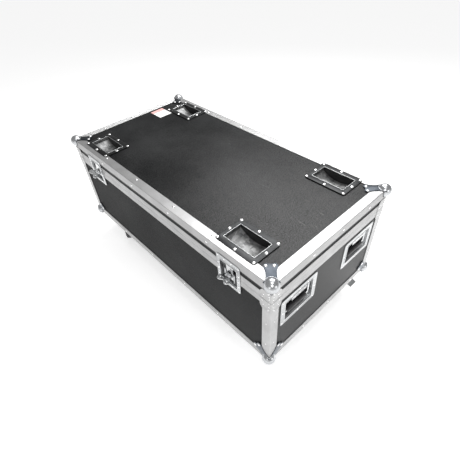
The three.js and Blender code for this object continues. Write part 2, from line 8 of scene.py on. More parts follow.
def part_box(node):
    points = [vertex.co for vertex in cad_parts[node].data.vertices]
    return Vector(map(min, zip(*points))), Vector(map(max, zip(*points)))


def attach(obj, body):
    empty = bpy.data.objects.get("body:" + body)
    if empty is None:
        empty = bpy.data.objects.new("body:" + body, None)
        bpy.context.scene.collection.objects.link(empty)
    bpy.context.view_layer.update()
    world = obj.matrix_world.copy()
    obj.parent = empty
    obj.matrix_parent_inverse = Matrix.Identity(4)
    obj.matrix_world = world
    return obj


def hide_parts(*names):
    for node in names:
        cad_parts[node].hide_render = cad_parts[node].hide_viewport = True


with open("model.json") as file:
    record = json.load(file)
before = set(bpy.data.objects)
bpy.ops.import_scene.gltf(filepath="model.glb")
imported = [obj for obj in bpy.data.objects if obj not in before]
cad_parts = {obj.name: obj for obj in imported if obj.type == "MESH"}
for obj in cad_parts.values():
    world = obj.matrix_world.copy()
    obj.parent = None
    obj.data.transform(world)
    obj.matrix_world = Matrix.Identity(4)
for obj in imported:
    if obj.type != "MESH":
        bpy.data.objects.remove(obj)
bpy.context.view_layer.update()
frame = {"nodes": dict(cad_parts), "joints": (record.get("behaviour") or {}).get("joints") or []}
joints = {joint["name"]: joint for joint in frame["joints"]}

# The case's own box, in metres, from the two edge frames. Pieces are modelled in millimetres,
# each about its own origin, and are brought to metres and to their place at the end.
lidLow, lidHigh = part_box("lid_edge_frame")
baseLow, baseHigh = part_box("base_edge_frame")
halfLength = lidHigh.x * 1000
halfWidth = lidHigh.y * 1000
topLevel = lidHigh.z * 1000
bottomLevel = baseLow.z * 1000
edgeLeg = (lidHigh.z - lidLow.z) * 1000
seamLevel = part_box("lid_closure_frame")[0].z * 1000 - 0.2
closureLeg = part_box("body_closure_frame")[0].z * 1000 - seamLevel  # below the seam, so negative
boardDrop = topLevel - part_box("lid_panel")[1].z * 1000
cornerNames = ["front_left", "front_right", "back_right", "back_left"]
cornerSigns = {"front_left": (-1, -1), "front_right": (1, -1), "back_right": (1, 1), "back_left": (-1, 1)}
here = Matrix.Identity(4)
print("frame loaded")


studio = {
    "cameraPlace": (0.9842, -0.7586, 1.1713),
    "cameraTurn": (46.94, 3.08, 46.75),
    "lens": 28.12,
    "floorSize": 60.0,
    "worldLight": 0.42,
}
# Each light's place, what it faces, its size in metres and its power.
studioLights = {
    "overhead": ((-0.35, 1.0, 1.9), (0.35, -0.1, 0.4), (1.5, 1.2), 46),
    "topFill": ((0.7, -0.2, 2.4), (0.4, -0.1, 0.4), (0.8, 0.8), 10),
    "rightFill": ((3.2, 0.2, 1.0), (0.5, 0.0, 0.2), (1.2, 0.8), 9),
    "frontFill": ((1.2, -3.2, 1.1), (0.3, 0.0, 0.2), (1.2, 0.8), 7),
    "nearFill": ((1.3, -1.0, 1.5), (0.6, -0.3, 0.35), (0.45, 0.45), 6),
}


def addLight(name, place, target, size, power):
    data = bpy.data.lights.new(name, "AREA")
    data.shape = "RECTANGLE"
    data.size, data.size_y = size
    data.energy = power
    light = bpy.data.objects.new(name, data)
    bpy.context.scene.collection.objects.link(light)
    light.location = place
    light.rotation_euler = (Vector(target) - Vector(place)).to_track_quat("-Z", "Y").to_euler()


def buildStudio():
    cameraData = bpy.data.cameras.new("camera")
    cameraData.lens = studio["lens"]
    cameraData.sensor_width = 36
    cameraData.clip_end = 200
    camera = bpy.data.objects.new("camera", cameraData)
    bpy.context.scene.collection.objects.link(camera)
    camera.location = studio["cameraPlace"]
    camera.rotation_euler = [math.radians(a) for a in studio["cameraTurn"]]
    bpy.context.scene.camera = camera

    world = bpy.data.worlds.new("studio")
    bpy.context.scene.world = world
    world.use_nodes = True
    background = world.node_tree.nodes["Background"]
    setInputs(background, Color=(1, 1, 1, 1), Strength=studio["worldLight"])
    bpy.context.scene.view_settings.view_transform = "Standard"

    for name, values in studioLights.items():
        addLight(name, *values)

    floorLevel = min(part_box("caster_wheel_" + name)[0].z for name in cornerNames)
    bpy.ops.mesh.primitive_plane_add(size=studio["floorSize"], location=(0, 0, floorLevel))
    floor = bpy.context.object
    floor.name = "floor"
    floor.data.materials.append(floorMaterial())


def setInputs(node, **values):
    for name, value in values.items():
        node.inputs[name].default_value = value


def newMaterial(name, roughness, metallic):
    material = bpy.data.materials.new(name)
    material.use_nodes = True
    tree = material.node_tree
    shader = tree.nodes["Principled BSDF"]
    setInputs(shader, Roughness=roughness, Metallic=metallic)
    return material, tree, shader


def objectVector(tree, scale=(1, 1, 1)):
    source = tree.nodes.new("ShaderNodeTexCoord")
    mapping = tree.nodes.new("ShaderNodeMapping")
    mapping.inputs["Scale"].default_value = scale
    tree.links.new(source.outputs["Object"], mapping.inputs["Vector"])
    return mapping.outputs["Vector"]


def noise(tree, vector, scale, detail=3, roughness=0.55):
    node = tree.nodes.new("ShaderNodeTexNoise")
    setInputs(node, Scale=scale, Detail=detail, Roughness=roughness)
    tree.links.new(vector, node.inputs["Vector"])
    return node.outputs["Fac"]


def ramp(tree, factor, stops):
    node = tree.nodes.new("ShaderNodeValToRGB")
    while len(node.color_ramp.elements) < len(stops):
        node.color_ramp.elements.new(0.5)
    for element, (position, colour) in zip(node.color_ramp.elements, stops):
        element.position = position
        element.color = (*colour, 1) if isinstance(colour, tuple) else (colour, colour, colour, 1)
    tree.links.new(factor, node.inputs["Fac"])
    return node.outputs["Color"]


def span(tree, factor, low, high, fromLow=0.0, fromHigh=1.0):
    node = tree.nodes.new("ShaderNodeMapRange")
    setInputs(node, **{"From Min": fromLow, "From Max": fromHigh, "To Min": low, "To Max": high})
    tree.links.new(factor, node.inputs["Value"])
    return node.outputs["Result"]


def blendColour(tree, factor, first, second):
    node = tree.nodes.new("ShaderNodeMix")
    node.data_type = "RGBA"
    tree.links.new(factor, node.inputs["Factor"])
    for socket, value in ((node.inputs[6], first), (node.inputs[7], second)):
        if isinstance(value, tuple):
            socket.default_value = (*value, 1)
        else:
            tree.links.new(value, socket)
    return node.outputs[2]


def calc(tree, first, second, operation="ADD"):
    node = tree.nodes.new("ShaderNodeMath")
    node.operation = operation
    for socket, value in ((node.inputs[0], first), (node.inputs[1], second)):
        if isinstance(value, float):
            socket.default_value = value
        else:
            tree.links.new(value, socket)
    return node.outputs[0]


def scaled(tree, value, factor):
    return calc(tree, value, factor, "MULTIPLY")


def split(tree, vector):
    node = tree.nodes.new("ShaderNodeSeparateXYZ")
    tree.links.new(vector, node.inputs["Vector"])
    return node.outputs


def feed(shader, name, value):
    shader.id_data.links.new(value, shader.inputs[name])


def addBump(tree, shader, height, strength, distance):
    node = tree.nodes.new("ShaderNodeBump")
    setInputs(node, Strength=strength, Distance=distance)
    tree.links.new(height, node.inputs["Height"])
    feed(shader, "Normal", node.outputs["Normal"])


def floorMaterial():
    material, tree, shader = newMaterial("floorPaper", 0.9, 0)
    grain = noise(tree, objectVector(tree), 40)
    colour = ramp(tree, grain, [(0.3, (0.93, 0.93, 0.93)), (0.7, (0.96, 0.96, 0.96))])
    feed(shader, "Base Color", colour)
    setInputs(shader, **{"Emission Color": (1, 1, 1, 1), "Emission Strength": 0.52})
    return material


birchStops = [(0.3, (0.50, 0.34, 0.19)), (0.7, (0.64, 0.47, 0.29))]
laminateSkin = 0.0008  # depth that counts as the outer face, in metres


# Black laminate on birch plywood. The laminate covers the board's outer face, which lies across
# the given axis; the other faces show the plywood.
def boardMaterial(name, axis, outside, sign, gloss, roughPart):
    material, tree, shader = newMaterial(name, 0.4, 0)
    plain = objectVector(tree)
    cloud = noise(tree, plain, 3.2, 4, 0.6)
    grain = noise(tree, plain, 330, 4, 0.8)
    mottle = calc(tree, scaled(tree, cloud, 0.6), scaled(tree, grain, 0.4))
    black = ramp(tree, mottle, [(0.38, (0.003, 0.0033, 0.0036)), (0.62, (0.024, 0.0245, 0.025))])
    streaks = noise(tree, objectVector(tree, (5, 46, 46)), 1.6, 5, 0.7)
    fine = noise(tree, objectVector(tree, (38, 6, 38)), 1.9, 6, 0.75)
    dust = noise(tree, plain, 9, 6, 0.7)
    long = span(tree, streaks, 0, 1, 0.63, 0.74)
    short = span(tree, fine, 0, 0.8, 0.65, 0.78)
    scuffMask = calc(tree, long, short, "MAXIMUM")
    dustMask = span(tree, dust, 0, 1.0, 0.5, 0.72)
    marks = calc(tree, scuffMask, dustMask, "MULTIPLY")
    scuff = calc(tree, marks, span(tree, grain, 0.1, 1.0), "MULTIPLY")
    laminate = blendColour(tree, scuff, black, (0.30, 0.30, 0.29))

    plies = tree.nodes.new("ShaderNodeTexWave")
    setInputs(plies, Scale=90, Distortion=1.5)
    plies.bands_direction = axis
    tree.links.new(plain, plies.inputs["Vector"])
    figure = noise(tree, objectVector(tree, (2, 30, 30)), 2.2, 6, 0.65)
    birch = ramp(tree, figure, birchStops)
    wood = blendColour(tree, span(tree, plies.outputs["Fac"], 0, 0.35), birch, (0.30, 0.19, 0.10))

    parts = split(tree, plain)
    beyond = calc(tree, parts[axis], float(sign), "MULTIPLY")
    isOutside = calc(tree, beyond, float(sign * outside - laminateSkin), "GREATER_THAN")
    feed(shader, "Base Color", blendColour(tree, isOutside, wood, laminate))
    shine = span(tree, cloud, 0.34, 0.46)
    feed(shader, "Roughness", calc(tree, shine, span(tree, scuff, 0, 0.25)))
    glint = span(tree, grain, gloss * (0.9 - roughPart), gloss * (1.1 + roughPart), 0.38, 0.62)
    wear = span(tree, parts["X"], 0.25, 1.15, -0.6, 0.6)  # shinier towards the right end
    feed(shader, "Specular IOR Level", calc(tree, glint, wear, "MULTIPLY"))
    addBump(tree, shader, calc(tree, grain, span(tree, scuff, 0, -0.5)), 0.5, 0.0008)
    return material


# The lid's rim boards face outwards all round, so their laminate is told by distance from the middle.
def rimMaterial():
    material, tree, shader = newMaterial("rimLaminate", 0.42, 0)
    plain = objectVector(tree)
    cloud = noise(tree, plain, 5, 4, 0.6)
    grain = noise(tree, plain, 620, 2, 0.6)
    black = ramp(tree, cloud, [(0.3, (0.011, 0.012, 0.013)), (0.75, (0.022, 0.023, 0.024))])
    parts = split(tree, plain)
    low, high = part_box("lid_rim_panel")
    masks = []
    for axis, limit in (("X", high.x), ("Y", high.y)):
        size = calc(tree, calc(tree, parts[axis], parts[axis], "MULTIPLY"), 0.5, "POWER")
        masks.append(calc(tree, size, float(limit - laminateSkin), "GREATER_THAN"))
    isOutside = calc(tree, masks[0], masks[1], "MAXIMUM")
    birch = ramp(tree, noise(tree, plain, 18, 5), birchStops)
    feed(shader, "Base Color", blendColour(tree, isOutside, birch, black))
    shader.inputs["Specular IOR Level"].default_value = 0.13
    addBump(tree, shader, grain, 0.2, 0.0004)
    return material


# A metal with soft clouding, wear and a fine grain.
def metal(name, dark, light, roughness, grainScale, wear, bump):
    material, tree, shader = newMaterial(name, roughness[0], 1)
    plain = objectVector(tree)
    cloud = noise(tree, plain, 14, 5, 0.6)
    grain = noise(tree, objectVector(tree, (grainScale,) * 3), 1.0, 4, 0.6)
    smudge = noise(tree, plain, 55, 5, 0.65)
    base = ramp(tree, cloud, [(0.3, dark), (0.72, light)])
    worn = tuple(channel * 0.55 for channel in dark)
    spots = span(tree, smudge, 0, wear, 0.6, 0.85)
    feed(shader, "Base Color", blendColour(tree, spots, base, worn))
    mixed = calc(tree, scaled(tree, grain, 0.5), scaled(tree, smudge, 0.5))
    feed(shader, "Roughness", span(tree, mixed, roughness[0], roughness[1], 0.3, 0.7))
    addBump(tree, shader, grain, bump, 0.0003)
    return material


def galvanisedMaterial():
    material, tree, shader = newMaterial("galvanised", 0.5, 0.8)
    plain = objectVector(tree)
    crystals = tree.nodes.new("ShaderNodeTexVoronoi")
    setInputs(crystals, Scale=95)
    tree.links.new(plain, crystals.inputs["Vector"])
    tone = tree.nodes.new("ShaderNodeSeparateColor")
    tree.links.new(crystals.outputs["Color"], tone.inputs["Color"])
    cloud = noise(tree, plain, 22, 6, 0.7)
    mixed = calc(tree, scaled(tree, tone.outputs["Red"], 0.3), scaled(tree, cloud, 0.7))
    stops = [(0.25, (0.10, 0.102, 0.104)), (0.5, (0.20, 0.202, 0.202)), (0.75, (0.42, 0.422, 0.42))]
    feed(shader, "Base Color", ramp(tree, mixed, stops))
    feed(shader, "Roughness", span(tree, mixed, 0.42, 0.6))
    addBump(tree, shader, cloud, 0.12, 0.001)
    return material


def rubberMaterial(name, colour, roughness):
    material, tree, shader = newMaterial(name, roughness, 0)
    plain = objectVector(tree)
    dust = noise(tree, plain, 60, 5, 0.65)
    grain = noise(tree, plain, 900, 2)
    pale = tuple(min(1.0, channel * 2.6 + 0.02) for channel in colour)
    feed(shader, "Base Color", ramp(tree, dust, [(0.42, colour), (0.85, pale)]))
    feed(shader, "Roughness", span(tree, dust, roughness - 0.08, roughness + 0.12))
    addBump(tree, shader, grain, 0.25, 0.0003)
    return material


def labelMaterial():
    material, tree, shader = newMaterial("labelPaper", 0.45, 0)
    plain = objectVector(tree)
    parts = split(tree, plain)
    edge = (label["centre"][0] - label["size"][0] / 2 + label["band"]) / 1000
    isBand = calc(tree, parts["X"], float(edge), "LESS_THAN")
    paper = ramp(tree, noise(tree, plain, 30, 4), [(0.3, (0.80, 0.80, 0.79)), (0.7, (0.88, 0.88, 0.87))])
    feed(shader, "Base Color", blendColour(tree, isBand, paper, (0.72, 0.42, 0.40)))
    addBump(tree, shader, noise(tree, plain, 90, 3), 0.1, 0.0005)
    return material


label = {"centre": (-512, 124), "size": (84, 68), "band": 25, "thick": 0.3}

# Darkest and lightest colour, roughness from and to, grain scale, wear, bump.
metals = {
    "aluminium": ((0.44, 0.44, 0.44), (0.54, 0.54, 0.54), (0.36, 0.48), 260, 0.2, 0.1),
    "cornerPlate": ((0.13, 0.14, 0.155), (0.22, 0.235, 0.255), (0.24, 0.4), 90, 0.35, 0.12),
    # The lid's corner plates are the same steel as cornerPlate, given a much darker colour as painted
    # shade.
    "shadedLidPlate": ((0.028, 0.032, 0.038), (0.075, 0.083, 0.094), (0.3, 0.42), 90, 0.6, 0.12),
    "ballChrome": ((0.42, 0.43, 0.445), (0.62, 0.63, 0.64), (0.2, 0.34), 60, 0.3, 0.02),
    "fittingZinc": ((0.42, 0.43, 0.44), (0.60, 0.61, 0.61), (0.22, 0.4), 120, 0.45, 0.12),
    "brightZinc": ((0.62, 0.63, 0.64), (0.80, 0.81, 0.81), (0.12, 0.3), 120, 0.3, 0.06),
    "flangeSteel": ((0.02, 0.0205, 0.021), (0.04, 0.041, 0.042), (0.32, 0.45), 150, 0.2, 0.12),
    "rivetSteel": ((0.86, 0.86, 0.86), (0.93, 0.93, 0.93), (0.16, 0.3), 300, 0.1, 0.03),
    # Dark steel for the sides and backs of wells: the same metal as the rest of each fitting, darkened as
    # painted shade.
    "shadedWellSteel": ((0.05, 0.05, 0.052), (0.09, 0.09, 0.092), (0.3, 0.45), 100, 0.2, 0.12),
}
aluminium, cornerPlate, shadedLidPlate, ballChrome, fittingZinc, brightZinc, flangeSteel, rivetSteel, shadedWellSteel = [
    metal(name, *values) for name, values in metals.items()]
galvanised = galvanisedMaterial()
gripRubber = rubberMaterial("gripRubber", (0.035, 0.035, 0.036), 0.38)
tyreRubber = rubberMaterial("tyreRubber", (0.03, 0.03, 0.032), 0.62)
hubNylon = rubberMaterial("hubNylon", (0.10, 0.10, 0.105), 0.5)
print("materials ready")


def deselectAll():
    if bpy.context.object is not None and bpy.context.object.mode != "OBJECT":
        bpy.ops.object.mode_set(mode="OBJECT")
    bpy.ops.object.select_all(action="DESELECT")


def leaveEdit():
    bpy.ops.object.mode_set(mode="OBJECT")


def selectMesh():
    bpy.ops.mesh.select_all(action="SELECT")


def activate(piece):
    deselectAll()
    piece.select_set(True)
    bpy.context.view_layer.objects.active = piece


def editAll(piece):
    activate(piece)
    bpy.ops.object.mode_set(mode="EDIT")
    selectMesh()


def bakePlace(piece):
    activate(piece)
    bpy.ops.object.transform_apply(location=True, rotation=True, scale=True)
    return piece


def faceOutwards(piece):
    editAll(piece)
    bpy.ops.mesh.remove_doubles(threshold=0.0004)
    bpy.ops.mesh.normals_make_consistent(inside=False)
    leaveEdit()
    return piece


def applyAll(piece):
    activate(piece)
    for modifier in list(piece.modifiers):
        bpy.ops.object.modifier_apply(modifier=modifier.name)
    return piece


def smooth(piece, degrees=35):
    activate(piece)
    bpy.ops.object.shade_smooth_by_angle(angle=math.radians(degrees))
    return piece


def bevel(piece, width, segments=2):
    modifier = piece.modifiers.new("bevel", "BEVEL")
    modifier.width = width
    modifier.segments = segments
    modifier.limit_method = "ANGLE"
    modifier.angle_limit = math.radians(30)
    applyAll(piece)
    return smooth(piece)


def joined(pieces):
    deselectAll()
    for piece in pieces:
        piece.select_set(True)
    bpy.context.view_layer.objects.active = pieces[0]
    bpy.ops.object.join()
    return bpy.context.object


def combine(piece, other, operation):
    modifier = piece.modifiers.new("combine", "BOOLEAN")
    modifier.operation = operation
    modifier.solver = "EXACT"
    modifier.object = other
    applyAll(piece)
    bpy.data.objects.remove(other)
    return piece


def addBlock(low, high):
    deselectAll()
    centre = [(a + b) / 2 for a, b in zip(low, high)]
    bpy.ops.mesh.primitive_cube_add(size=1, location=centre)
    block = bpy.context.object
    block.scale = [b - a for a, b in zip(low, high)]
    return bakePlace(block)


def addRod(start, end, radius, vertices=24):
    deselectAll()
    along = Vector(end) - Vector(start)
    bpy.ops.mesh.primitive_cylinder_add(vertices=vertices, radius=radius, depth=along.length)
    rod = bpy.context.object
    rod.rotation_euler = along.to_track_quat("Z", "Y").to_euler()
    rod.location = (Vector(start) + Vector(end)) / 2
    return bakePlace(rod)


def flatPoints(outline, plane, level):
    where = "xyz".index({"xy": "z", "xz": "y", "yz": "x"}[plane])
    return [Vector((*pair[:where], level, *pair[where:])) for pair in outline]


# Draws a line from point to point by extruding its last vertex, and leaves it in edit mode.
def drawLine(points):
    deselectAll()
    bpy.ops.mesh.primitive_plane_add(size=0.01, location=points[0])
    line = bakePlace(bpy.context.object)
    editAll(line)
    bpy.ops.mesh.merge(type="CENTER")
    for start, end in zip(points, points[1:]):
        bpy.ops.mesh.extrude_vertices_move(TRANSFORM_OT_translate={"value": end - start})
    selectMesh()
    return line


def slab(outline, plane, level, depth):
    points = flatPoints(outline, plane, level)
    piece = drawLine(points + [points[0]])
    bpy.ops.mesh.remove_doubles(threshold=0.001)
    bpy.ops.mesh.edge_face_add()
    along = {"xy": (0, 0, depth), "xz": (0, depth, 0), "yz": (depth, 0, 0)}[plane]
    bpy.ops.mesh.extrude_region_move(TRANSFORM_OT_translate={"value": along})
    leaveEdit()
    return faceOutwards(piece)


# A round bar that follows closed or open points.
def tubeAlong(points, radius, closed=True, resolution=3):
    line = drawLine(points + [points[0]] if closed else points)
    bpy.ops.mesh.remove_doubles(threshold=0.001)
    leaveEdit()
    bpy.ops.object.convert(target="CURVE")
    curve = bpy.context.object
    curve.data.bevel_depth = radius
    curve.data.bevel_resolution = resolution
    curve.data.use_fill_caps = True
    bpy.ops.object.convert(target="MESH")
    return smooth(faceOutwards(bpy.context.object), 60)


def arc(centreA, centreB, radius, start, end, steps):
    angles = [math.radians(start + (end - start) * i / steps) for i in range(steps + 1)]
    return [(centreA + radius * math.cos(a), centreB + radius * math.sin(a)) for a in angles]


def roundedOutline(a0, a1, b0, b1, radius, steps=5):
    return (arc(a1 - radius, b1 - radius, radius, 0, 90, steps)
            + arc(a0 + radius, b1 - radius, radius, 90, 180, steps)
            + arc(a0 + radius, b0 + radius, radius, 180, 270, steps)
            + arc(a1 - radius, b0 + radius, radius, 270, 360, steps))


def copyOf(piece, matrix):
    copy = piece.copy()
    copy.data = piece.data.copy()
    bpy.context.scene.collection.objects.link(copy)
    copy.data.transform(matrix)
    return copy


def place(piece, name, matrix, body, material, slot, replaces=()):
    piece.name = name
    piece.data.name = name
    piece.data.transform(matrix @ Matrix.Scale(0.001, 4))
    piece.data.materials.clear()
    piece.data.materials.append(material)
    piece.data.update()
    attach(piece, body)
    if replaces:
        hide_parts(*replaces)


def placeCopy(piece, *rest):
    place(copyOf(piece, here), *rest)


def discard(*pieces):
    for piece in pieces:
        bpy.data.objects.remove(piece)


def shift(x, y, z):
    return Matrix.Translation((x / 1000, y / 1000, z / 1000))


def turnAbout(axis, degrees):
    return Matrix.Rotation(math.radians(degrees), 4, axis)


# From a piece made for the front left corner, at the origin, to the given corner.
def cornerPlace(corner, level):
    sx, sy = cornerSigns[corner]
    turn = turnAbout("Z", 90 * cornerNames.index(corner))
    return shift(sx * halfLength, sy * halfWidth, level) @ turn


# A clean copy of a CAD node, in millimetres, with its edges rounded.
def roundedCopy(node, width):
    piece = bpy.data.objects.new("roundedCopy", frame["nodes"][node].data.copy())
    bpy.context.scene.collection.objects.link(piece)
    piece.data.transform(Matrix.Scale(1000, 4))
    editAll(piece)
    bpy.ops.mesh.customdata_custom_splitnormals_clear()
    bpy.ops.mesh.remove_doubles(threshold=0.002)
    bpy.ops.mesh.dissolve_limited(angle_limit=math.radians(1))
    bpy.ops.mesh.normals_make_consistent(inside=False)
    leaveEdit()
    return bevel(piece, width)


# Radius and height of each kind of head.
rivetSizes = {"edge": (4.6, 2.0), "dish": (6.0, 2.4), "corner": (5.6, 2.3), "brace": (2.3, 1.0),
              "fitting": (3.6, 1.5)}


def rivetHead(kind):
    radius, height = rivetSizes[kind]
    deselectAll()
    bpy.ops.mesh.primitive_uv_sphere_add(segments=12, ring_count=8, radius=radius)
    head = bpy.context.object
    editAll(head)
    bpy.ops.mesh.bisect(plane_co=(0, 0, 0), plane_no=(0, 0, 1), clear_inner=True, use_fill=True)
    selectMesh()
    bpy.ops.transform.resize(value=(1, 1, height / radius), center_override=(0, 0, 0))
    leaveEdit()
    return smooth(head, 50)


# Rivets of one kind at points with outward normals, in millimetres, joined into one piece.
def rivets(kind, spots):
    head = rivetHead(kind)
    heads = []
    for point, normal in spots:
        turn = Vector(normal).to_track_quat("Z", "Y").to_matrix().to_4x4()
        heads.append(copyOf(head, Matrix.Translation(point) @ turn))
    bpy.data.objects.remove(head)
    return joined(heads)


def placeRivets(kind, spots, name, matrix, body):
    place(rivets(kind, spots), name, matrix, body, rivetSteel, "bright_zinc")


def dress(node, material):
    materials = frame["nodes"][node].data.materials
    materials.clear()
    materials.append(material)


def dressBoards():
    boards = {
        "lid_panel": ("Z", 1, 0.2, 0.75), "base_panel": ("Z", -1, 0.1, 0.2),
        "front_panel": ("Y", -1, 0.045, 0.2), "back_panel": ("Y", 1, 0.07, 0.2),
        "left_panel": ("X", -1, 0.16, 0.2), "right_panel": ("X", 1, 0.16, 0.2),
    }
    for node, (axis, sign, gloss, roughPart) in boards.items():
        low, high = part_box(node)
        index = "XYZ".index(axis)
        outside = high[index] if sign > 0 else low[index]
        dress(node, boardMaterial("laminate_" + node, axis, outside, sign, gloss, roughPart))
    dress("lid_rim_panel", rimMaterial())
    dress("hinge_pin", brightZinc)


profile = {"wall": 2.0, "edgeRadius": 2.4, "ribs": 6, "ribWidth": 2.2, "ribDepth": 0.45, "depth": 14.6}


# Points along one flat leg, with shallow grooves cut into it.
def grooved(start, end, inward, count):
    along = Vector(end) - Vector(start)
    unit = along.normalized()
    points = [tuple(start)]
    half = profile["ribWidth"] / 2
    for i in range(count):
        middle = Vector(start) + along * ((i + 0.5) / count)
        deep = Vector(inward) * profile["ribDepth"]
        points += [tuple(middle - unit * half), tuple(middle - unit * half * 0.4 + deep)]
        points += [tuple(middle + unit * half * 0.4 + deep), tuple(middle + unit * half)]
    return points + [tuple(end)]


# Sweeps a section of (inset, height) points round the case, with mitred corners.
def ringProfile(section):
    deselectAll()
    inset, height = section[0]
    bpy.ops.mesh.primitive_plane_add(size=2, location=(0, 0, height))
    ring = bpy.context.object
    ring.scale = (halfLength - inset, halfWidth - inset, 1)
    bakePlace(ring)
    editAll(ring)
    bpy.ops.mesh.delete(type="ONLY_FACE")
    selectMesh()
    for nextInset, nextHeight in section[1:] + [section[0]]:
        bpy.ops.mesh.extrude_edges_move(TRANSFORM_OT_translate={"value": (0, 0, nextHeight - height)})
        ratioX = (halfLength - nextInset) / (halfLength - inset)
        ratioY = (halfWidth - nextInset) / (halfWidth - inset)
        bpy.ops.transform.resize(value=(ratioX, ratioY, 1), center_override=(0, 0, 0))
        inset, height = nextInset, nextHeight
    leaveEdit()
    return faceOutwards(ring)


def edgeSection(level, inwardZ):
    wall, radius, ribs = profile["wall"], profile["edgeRadius"], profile["ribs"]
    side = grooved((0, edgeLeg - 0.4), (0, radius), (1, 0), ribs)
    turn = arc(radius, radius, radius, 180, 270, 5)[1:-1]
    face = grooved((radius, 0), (edgeLeg - 0.4, 0), (0, 1), ribs)
    inner = [(edgeLeg, 0.4), (edgeLeg, wall), (wall, wall), (wall, edgeLeg), (0.4, edgeLeg)]
    return [(inset, level + inwardZ * depth) for inset, depth in side + turn + face + inner]


def closureSection(up):
    wall, depth = profile["wall"], profile["depth"]
    leg = abs(closureLeg)
    side = grooved((0, leg - 0.4), (0, 0.8), (1, 0), 4)
    if up < 0:  # the body's half, with the tongue
        rest = [(0.5, 0.2), (5.5, 0.2), (5.5, -4.0), (6.0, -4.3), (7.5, -4.3), (8.0, -4.0),
                (8.0, 0.2), (depth, 0.2), (depth, 14), (depth - wall, 14), (depth - wall, 2.2),
                (wall, 2.2), (wall, leg)]
    else:  # the lid's half, with the groove
        rest = [(0.5, 0.2), (4.3, 0.2), (4.3, 5.9), (9.2, 5.9), (9.2, 0.2), (depth, 0.2),
                (depth, 16), (depth - wall, 16), (depth - wall, 7.9), (wall, 7.9), (wall, leg)]
    return [(inset, seamLevel + up * height) for inset, height in side + rest + [(0.4, leg)]]


# Space that the profiles leave for a latch, from its middle, the case's front and the seam.
notch = {"half": 39.8, "front": 5, "back": 12.5, "below": 60, "above": 31.8}


def latchCentres():
    return {side: sum(v.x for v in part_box("latch_dish_" + side)) * 500 for side in ("left", "right")}


def cutForLatches(piece):
    half, front, back, below, above = [notch[key] for key in ("half", "front", "back", "below", "above")]
    for centre in latchCentres().values():
        low = (centre - half, -halfWidth - front, seamLevel - below)
        high = (centre + half, -halfWidth + back, seamLevel + above)
        combine(piece, addBlock(low, high), "DIFFERENCE")
    return piece


def buildProfiles():
    edges = (("lidEdgeProfile", topLevel, -1, "lid", "lid_edge_frame"),
             ("baseEdgeProfile", bottomLevel, 1, "body", "base_edge_frame"))
    for name, level, inward, body, node in edges:
        ring = smooth(ringProfile(edgeSection(level, inward)), 25)
        place(ring, name, here, body, aluminium, "aluminium_profile", [node])
    for name, up, body, node in (("bodyClosureProfile", -1, "body", "body_closure_frame"),
                                 ("lidClosureProfile", 1, "lid", "lid_closure_frame")):
        ring = cutForLatches(ringProfile(closureSection(up)))
        place(smooth(ring, 25), name, here, body, aluminium, "aluminium_profile", [node])
    for corner in cornerNames:
        low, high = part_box("corner_post_" + corner)
        wall, radius, leg = profile["wall"], 4.0, edgeLeg
        outline = (grooved((leg - 0.4, 0), (radius, 0), (0, 1), 4)
                   + arc(radius, radius, radius, 270, 180, 6)[1:-1]
                   + grooved((0, radius), (0, leg - 0.4), (1, 0), 4)
                   + [(0.4, leg), (wall, leg), (wall, wall), (leg, wall), (leg, 0.4)])
        post = smooth(slab(outline, "xy", 0, (high.z - low.z) * 1000), 25)
        node = "corner_post_" + corner
        matrix = cornerPlace(corner, low.z * 1000)
        place(post, "cornerPost_" + corner, matrix, "body", aluminium, "aluminium_profile", [node])
    print("profiles built")


# Rivet heads along the edge profiles and on the corner posts.
edgeRivets = {"topInset": 22, "sideDrop": 18, "alongX": [-330, -104, 130, 335], "alongY": [-150, 0, 150],
              "postInset": 18, "postLevels": (85, 205), "postStep": 12}


def buildEdgeRivets():
    inset, drop = edgeRivets["topInset"], edgeRivets["sideDrop"]
    lidSpots, bodySpots, postSpots = [], [], []
    for side in (-1, 1):
        for x in edgeRivets["alongX"]:
            lidSpots.append(((x, side * (halfWidth - inset), topLevel), (0, 0, 1)))
            lidSpots.append(((x - 8, side * halfWidth, topLevel - drop), (0, side, 0)))
            bodySpots.append(((x, side * halfWidth, bottomLevel + drop), (0, side, 0)))
            bodySpots.append(((x, side * (halfWidth - inset), bottomLevel), (0, 0, -1)))
        for y in edgeRivets["alongY"]:
            lidSpots.append(((side * (halfLength - inset), y, topLevel), (0, 0, 1)))
            lidSpots.append(((side * halfLength, y + 35, topLevel - drop), (side, 0, 0)))
            bodySpots.append(((side * halfLength, y + 35, bottomLevel + drop), (side, 0, 0)))
    postInset, step = edgeRivets["postInset"], edgeRivets["postStep"]
    for sx, sy in cornerSigns.values():
        for z in edgeRivets["postLevels"]:
            postSpots.append(((sx * (halfLength - postInset), sy * halfWidth, z), (0, sy, 0)))
            postSpots.append(((sx * halfLength, sy * (halfWidth - postInset), z + step), (sx, 0, 0)))
    placeRivets("edge", lidSpots, "lidEdgeRivets", here, "lid")
    placeRivets("edge", bodySpots, "bodyEdgeRivets", here, "body")
    placeRivets("brace", postSpots, "postRivets", here, "body")


brace = {"leg": 44, "bodyDrop": 46, "lidRise": 43, "thick": 1.2, "slant": 9, "seamGap": 0.8}


